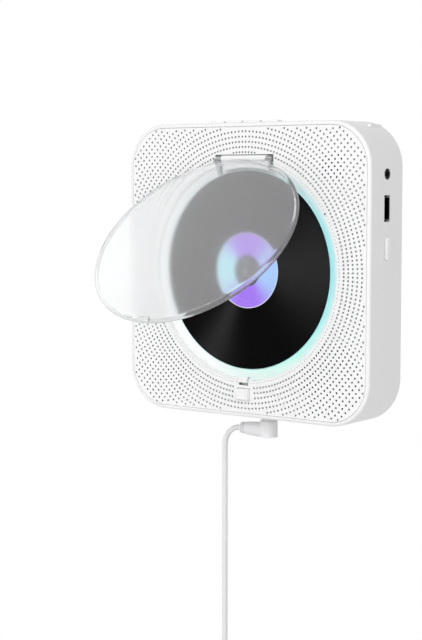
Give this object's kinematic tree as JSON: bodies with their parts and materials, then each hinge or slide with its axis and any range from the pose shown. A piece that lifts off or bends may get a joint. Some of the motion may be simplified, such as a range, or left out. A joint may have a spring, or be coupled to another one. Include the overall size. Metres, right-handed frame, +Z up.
{
  "type": "wall mounted disc player",
  "caption": "Square white wall-hung disc player with a perforated front, a round clear hinged lid over the disc, a lit ring, keys on top and a cord below.",
  "frame": {"origin": "middle of the wall bracket's back face, on the wall behind the centre of the disc", "axes": "+X to the right seen from the front, +Y into the wall, +Z up"},
  "size_m": [0.1806, 0.1315, 0.4217],
  "materials": {
    "steel": "zinc plated sheet",
    "case_white": "fine matt moulded white",
    "panel_white": "matt moulded pale grey",
    "grille": "painted perforated sheet, satin white",
    "ring_glow": "frosted light guide, lit cyan and mint",
    "board": "solder mask",
    "screw_steel": "plated screw",
    "rubber": "matt rubber",
    "inner_plastic": "matt moulded dark grey",
    "dark_lens": "smoked glossy",
    "paper_cone": "pressed paper",
    "magnet": "plated ferrite assembly",
    "rod_chrome": "ground and polished",
    "dark_plastic": "matt black",
    "socket_metal": "plated socket shell",
    "spring_steel": "spring wire",
    "lid_clear": "clear moulded cover",
    "button_white": "satin white",
    "disc_mirror": "pressed disc, rainbow sheen",
    "gear_white": "acetal",
    "pinion_brass": "cut brass",
    "plug_white": "moulded soft white",
    "cord_white": "soft white sheath",
    "tie": "soft black tie"
  },
  "bodies": {
    "bracket": {"wall_bracket": "steel"},
    "case": {"side_frame": "case_white", "front_panel": "panel_white", "grille_skin": "grille", "light_ring": "ring_glow", "led_board": "board", "disc_tray": "panel_white", "tray_screws": "screw_steel", "panel_screws": "screw_steel", "rear_cover": "case_white", "rear_screws": "screw_steel", "wall_pads": "rubber", "hinge_block": "case_white", "hinge_pin": "screw_steel", "latch_cover": "inner_plastic", "sensor_eye": "dark_lens", "ir_window": "dark_lens", "ir_receiver": "dark_lens", "speaker_frames": "inner_plastic", "speaker_cones": "paper_cone", "speaker_magnets": "magnet", "drive_deck": "steel", "deck_dampers": "rubber", "damper_screws": "screw_steel", "spindle_motor": "steel", "guide_rods": "rod_chrome", "sled_motor": "steel", "main_board": "board", "board_parts": "dark_plastic", "board_screws": "screw_steel", "side_board": "board", "headphone_socket": "dark_plastic", "usb_socket": "socket_metal", "switch_body": "dark_plastic", "key_board": "board", "key_switches": "dark_plastic", "power_inlet": "dark_plastic", "release_spring": "spring_steel"},
    "lid": {"lid": "lid_clear"},
    "release_button": {"release_button": "button_white"},
    "latch": {"latch_slider": "button_white"},
    "spindle": {"turntable": "inner_plastic", "spindle_shaft": "rod_chrome", "hub_balls": "rod_chrome"},
    "disc": {"disc": "disc_mirror"},
    "sled": {"laser_sled": "inner_plastic", "sled_rack": "gear_white"},
    "lens": {"lens_holder": "dark_plastic"},
    "gear": {"drive_gear": "gear_white"},
    "pinion": {"motor_pinion": "pinion_brass"},
    "knob": {"power_knob": "button_white"},
    "key_a": {"key_1": "button_white"},
    "key_b": {"key_2": "button_white"},
    "key_c": {"key_3": "button_white"},
    "key_d": {"key_4": "button_white"},
    "plug": {"power_plug": "plug_white", "power_cord": "cord_white", "cord_coil": "cord_white", "cord_tie": "tie", "usb_plug": "plug_white"}
  },
  "joints": [
    {"name": "unhook", "type": "slide", "parent": "bracket", "child": "case", "axis": [0, 0, 1], "range_m": [0, 0.007]},
    {"name": "lid_hinge", "type": "hinge", "parent": "case", "child": "lid", "pos_m": [0, -0.0353, 0.0674], "axis": [-1, 0, 0], "range_deg": [-46, 14]},
    {"name": "release_press", "type": "slide", "parent": "case", "child": "release_button", "axis": [0, 1, 0], "range_m": [0, 0.0016], "stiffness_N_per_m": 800, "springref_m": -0.001, "deforming": ["release_spring"]},
    {"name": "latch_slide", "type": "slide", "parent": "case", "child": "latch", "axis": [0, 0, -1], "range_m": [0, 0.0013]},
    {"name": "disc_spin", "type": "hinge", "parent": "case", "child": "spindle", "pos_m": [0, -0.03, 0], "axis": [0, -1, 0], "continuous": true},
    {"name": "disc_lift", "type": "slide", "parent": "spindle", "child": "disc", "axis": [0, -1, 0], "range_m": [0, 0.007]},
    {"name": "sled_slide", "type": "slide", "parent": "case", "child": "sled", "axis": [-1, 0, 0], "range_m": [0, 0.034]},
    {"name": "drive_gear_turn", "type": "hinge", "parent": "case", "child": "gear", "pos_m": [-0.026, -0.026, -0.0262], "axis": [0, -1, 0], "continuous": true},
    {"name": "motor_pinion_turn", "type": "hinge", "parent": "case", "child": "pinion", "pos_m": [-0.02, -0.027, -0.0342], "axis": [0, -1, 0], "continuous": true},
    {"name": "lens_focus", "type": "slide", "parent": "sled", "child": "lens", "axis": [0, -1, 0], "range_m": [-0.0004, 0.0004], "stiffness_N_per_m": 60},
    {"name": "power_switch", "type": "slide", "parent": "case", "child": "knob", "axis": [0, 0, 1], "range_m": [-0.003, 0]},
    {"name": "key_1_press", "type": "slide", "parent": "case", "child": "key_a", "axis": [0, 0, -1], "range_m": [0, 0.0006], "stiffness_N_per_m": 1500, "springref_m": -0.0004},
    {"name": "key_2_press", "type": "slide", "parent": "case", "child": "key_b", "axis": [0, 0, -1], "range_m": [0, 0.0006], "stiffness_N_per_m": 1500, "springref_m": -0.0004},
    {"name": "key_3_press", "type": "slide", "parent": "case", "child": "key_c", "axis": [0, 0, -1], "range_m": [0, 0.0006], "stiffness_N_per_m": 1500, "springref_m": -0.0004},
    {"name": "key_4_press", "type": "slide", "parent": "case", "child": "key_d", "axis": [0, 0, -1], "range_m": [0, 0.0006], "stiffness_N_per_m": 1500, "springref_m": -0.0004},
    {"name": "plug_pull", "type": "slide", "parent": "case", "child": "plug", "axis": [0, 0, -1], "range_m": [0, 0.01]}
  ],
  "couplings": [
    {"joint": "latch_slide", "follows": "release_press", "ratio": 0.8},
    {"joint": "drive_gear_turn", "follows": "sled_slide", "rad_per_m": 277.78},
    {"joint": "motor_pinion_turn", "follows": "sled_slide", "rad_per_m": -1111.1}
  ]
}
